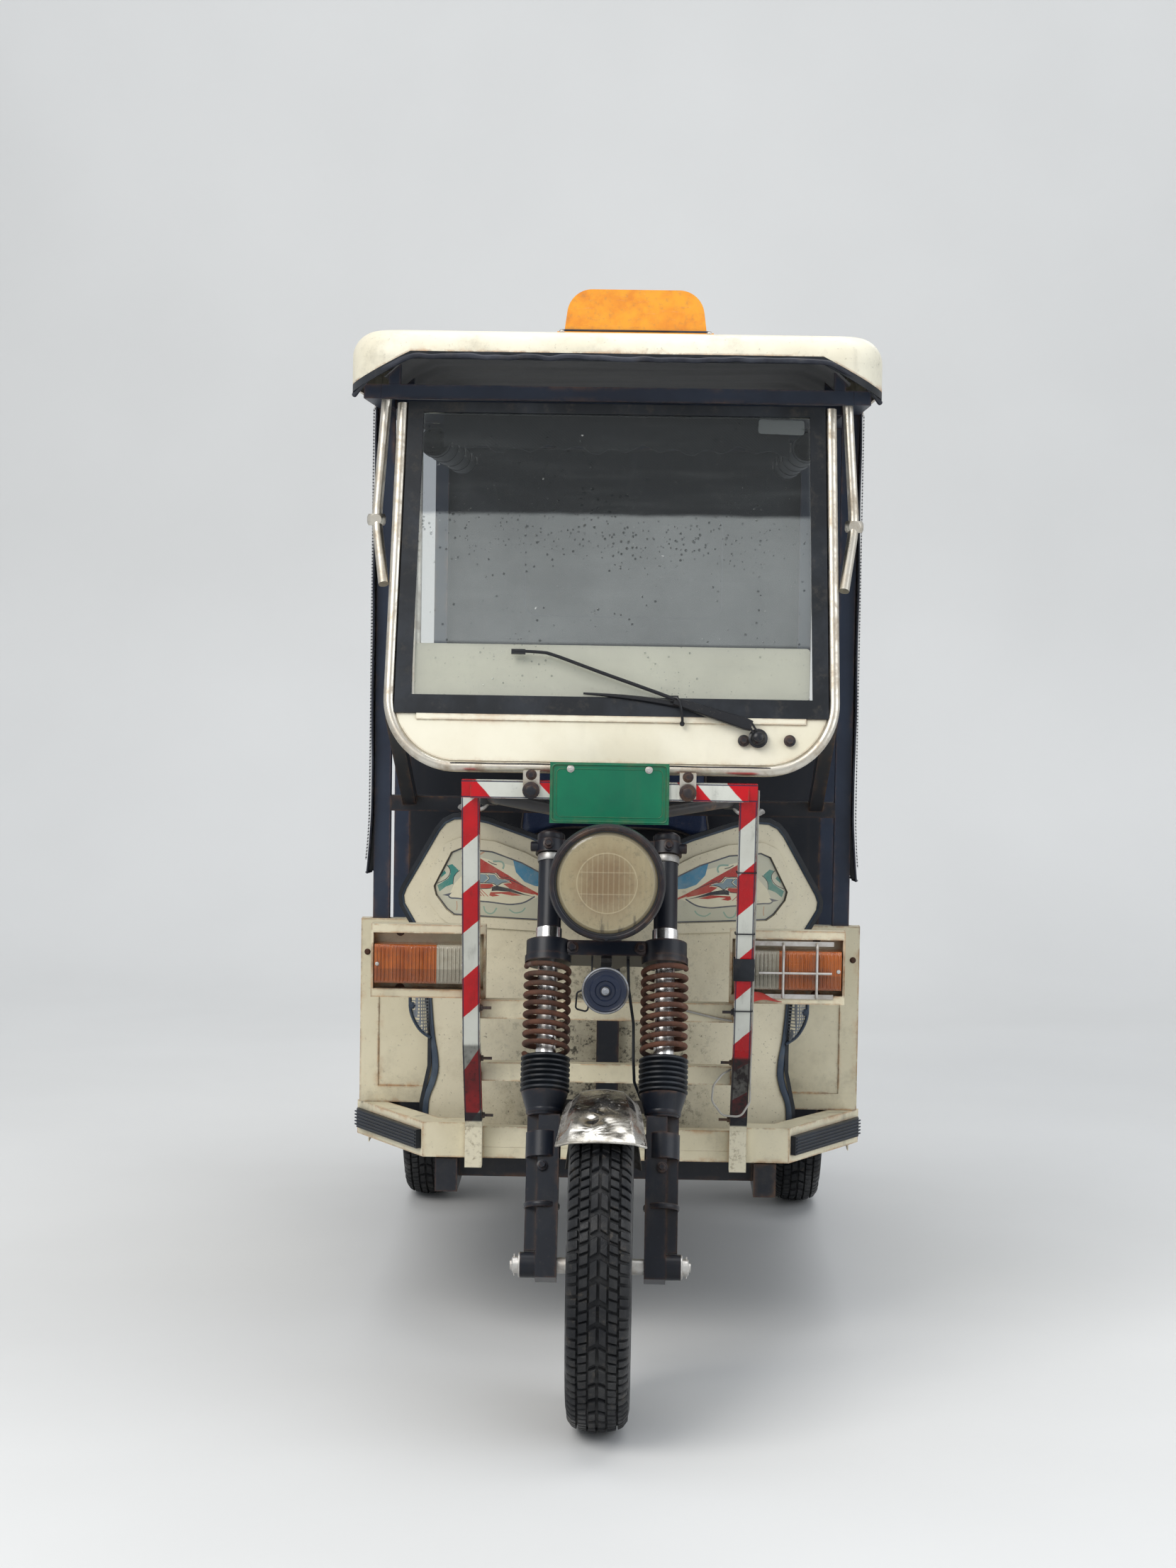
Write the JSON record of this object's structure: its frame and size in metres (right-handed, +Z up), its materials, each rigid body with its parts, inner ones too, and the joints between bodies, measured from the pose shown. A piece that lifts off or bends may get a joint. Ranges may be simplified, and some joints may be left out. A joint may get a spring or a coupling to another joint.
{
  "type": "three-wheeled electric passenger rickshaw",
  "caption": "Three-wheeled electric rickshaw with open front fork, guard frame, leg shield, windscreen, canvas-sided cabin, facing passenger benches and moulded roof.",
  "frame": {"origin": "on the ground below the middle of the overall length and width", "axes": "the vehicle faces -Y, +X is its left side, +Z is up"},
  "size_m": [0.932, 2.7598, 1.8859],
  "materials": {
    "tyre_rubber": "dusty worn rubber",
    "wheel_paint": "silver paint with rust at the edges",
    "steel": "plain steel, dulled",
    "fork_black": "black paint, chipped and muddy",
    "black_rubber": "weathered black rubber",
    "rusty_spring": "rusted spring steel",
    "chrome": "dulled chrome",
    "black_plastic": "faded black plastic",
    "lamp_glass": "yellowed fluted glass",
    "stainless": "bright stainless tube with water marks",
    "frame_black": "dark frame paint",
    "taped_paint": "cream paint under red and white safety tape",
    "plate_green": "blank plate",
    "cream_paint": "cream paint with rusty seams and dirt",
    "clear_lens": "milky clear lens",
    "amber_lens": "amber lens",
    "cream_plastic": "cream moulding, scuffed and stained",
    "floor_steel": "worn chequer plate",
    "post_paint": "dark blue-grey paint",
    "window_glass": "rain-spotted glass",
    "white_paint": "white enamel with drips",
    "amber_sign": "blank translucent amber lamp cover",
    "battery_black": "battery cases",
    "red_lens": "red lens",
    "canvas": "black coated canvas",
    "cast_black": "oily dark castings",
    "leaf_steel": "rust-dusted spring leaves",
    "wire_grey": "grey plastic insulation, dirty",
    "seat_vinyl": "padded vinyl"
  },
  "bodies": {
    "body": {"steering_head": "frame_black", "guard_frame": "taped_paint", "guard_wire": "wire_grey", "number_plate": "plate_green", "bumper": "cream_paint", "bumper_trim": "black_rubber", "lamp_trays": "cream_paint", "lamp_clear": "clear_lens", "lamp_amber": "amber_lens", "lamp_guard": "steel", "leg_shield": "cream_plastic", "front_panels": "cream_paint", "chassis_frame": "frame_black", "floor_plate": "floor_steel", "cabin_posts": "post_paint", "roof_rails": "post_paint", "dash_frame": "frame_black", "screen_tube": "stainless", "screen_seal": "black_rubber", "screen_glass": "window_glass", "nose_panel": "white_paint", "wiper": "frame_black", "screen_stays": "stainless", "roof": "cream_plastic", "edge_beading": "black_rubber", "roof_sign": "amber_sign", "seat_boxes": "frame_black", "battery": "battery_black", "side_panels": "cream_paint", "rear_panel": "cream_paint", "tail_lamps": "red_lens", "rear_bumper": "stainless", "side_canvas": "canvas", "rear_curtain": "canvas", "grab_rails": "stainless", "rear_axle": "cast_black", "leaf_springs": "leaf_steel", "brake_pedal": "steel", "driver_seat": "seat_vinyl", "front_bench": "seat_vinyl", "rear_bench": "seat_vinyl"},
    "fork": {"front_axle": "steel", "fork_sliders": "fork_black", "fork_gaiters": "black_rubber", "fork_springs": "rusty_spring", "fork_stanchions": "chrome", "fork_clamps": "fork_black", "headlamp_shell": "black_plastic", "headlamp_lens": "lamp_glass", "horn": "black_plastic", "fork_cables": "black_rubber", "front_mudguard": "stainless", "handlebar": "chrome", "grips": "black_rubber"},
    "front_wheel_set": {"front_tyre": "tyre_rubber", "front_wheel": "wheel_paint"},
    "rear_left_wheel_set": {"rear_left_tyre": "tyre_rubber", "rear_left_wheel": "wheel_paint"},
    "rear_right_wheel_set": {"rear_right_tyre": "tyre_rubber", "rear_right_wheel": "wheel_paint"}
  },
  "joints": [
    {"name": "steering", "type": "hinge", "parent": "body", "child": "fork", "pos_m": [0, -1.07228, 0.24914], "axis": [0, 0.3746, 0.9272], "range_deg": [-35, 35]},
    {"name": "front_wheel_spin", "type": "hinge", "parent": "fork", "child": "front_wheel_set", "pos_m": [0, -1.114, 0.266], "axis": [1, 0, 0], "continuous": true},
    {"name": "rear_left_spin", "type": "hinge", "parent": "body", "child": "rear_left_wheel_set", "pos_m": [0.409, 0.936, 0.266], "axis": [1, 0, 0], "continuous": true},
    {"name": "rear_right_spin", "type": "hinge", "parent": "body", "child": "rear_right_wheel_set", "pos_m": [-0.409, 0.936, 0.266], "axis": [1, 0, 0], "continuous": true}
  ]
}
